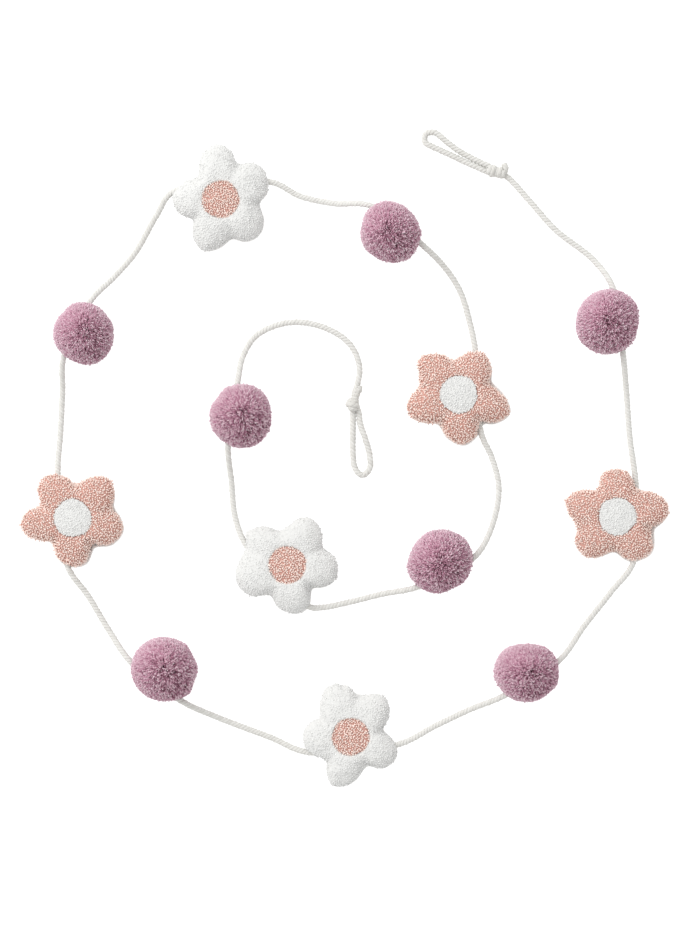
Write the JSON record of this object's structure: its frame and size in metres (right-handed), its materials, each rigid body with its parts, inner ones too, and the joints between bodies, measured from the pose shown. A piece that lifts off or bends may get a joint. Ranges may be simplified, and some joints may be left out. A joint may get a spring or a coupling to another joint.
{
  "type": "flower and pom pom garland",
  "caption": "String of stuffed five-petal pile flowers and round yarn pom poms threaded on a twisted cotton cord, with a knotted hanging loop at each end.",
  "frame": {"origin": "on the table, under the middle of the box around the flowers and pom poms", "axes": "+X right and +Y up as the garland lies in the picture, +Z up from the table towards the camera"},
  "size_m": [0.4343, 0.4401, 0.0401],
  "materials": {
    "cord_cotton": "three-strand twisted off-white cotton, matt",
    "mauve_yarn": "cut yarn ends, dusty mauve, matt and fuzzy",
    "pink_pile": "short loop pile, dusty pink, matt",
    "white_pile": "short loop pile, white, matt",
    "back_cloth": "plain-woven undyed cotton, matt"
  },
  "bodies": {
    "root": {"cord": "cord_cotton", "loop_outer": "cord_cotton", "loop_inner": "cord_cotton", "knot_outer": "cord_cotton", "knot_inner": "cord_cotton", "pom_1": "mauve_yarn", "pom_2": "mauve_yarn", "pom_3": "mauve_yarn", "pom_4": "mauve_yarn", "pom_5": "mauve_yarn", "pom_6": "mauve_yarn", "pom_7": "mauve_yarn", "flower_1_front": "pink_pile", "flower_1_centre": "white_pile", "flower_1_back": "back_cloth", "flower_2_front": "white_pile", "flower_2_centre": "pink_pile", "flower_2_back": "back_cloth", "flower_3_front": "pink_pile", "flower_3_centre": "white_pile", "flower_3_back": "back_cloth", "flower_4_front": "white_pile", "flower_4_centre": "pink_pile", "flower_4_back": "back_cloth", "flower_5_front": "pink_pile", "flower_5_centre": "white_pile", "flower_5_back": "back_cloth", "flower_6_front": "white_pile", "flower_6_centre": "pink_pile", "flower_6_back": "back_cloth"}
  },
  "joints": []
}
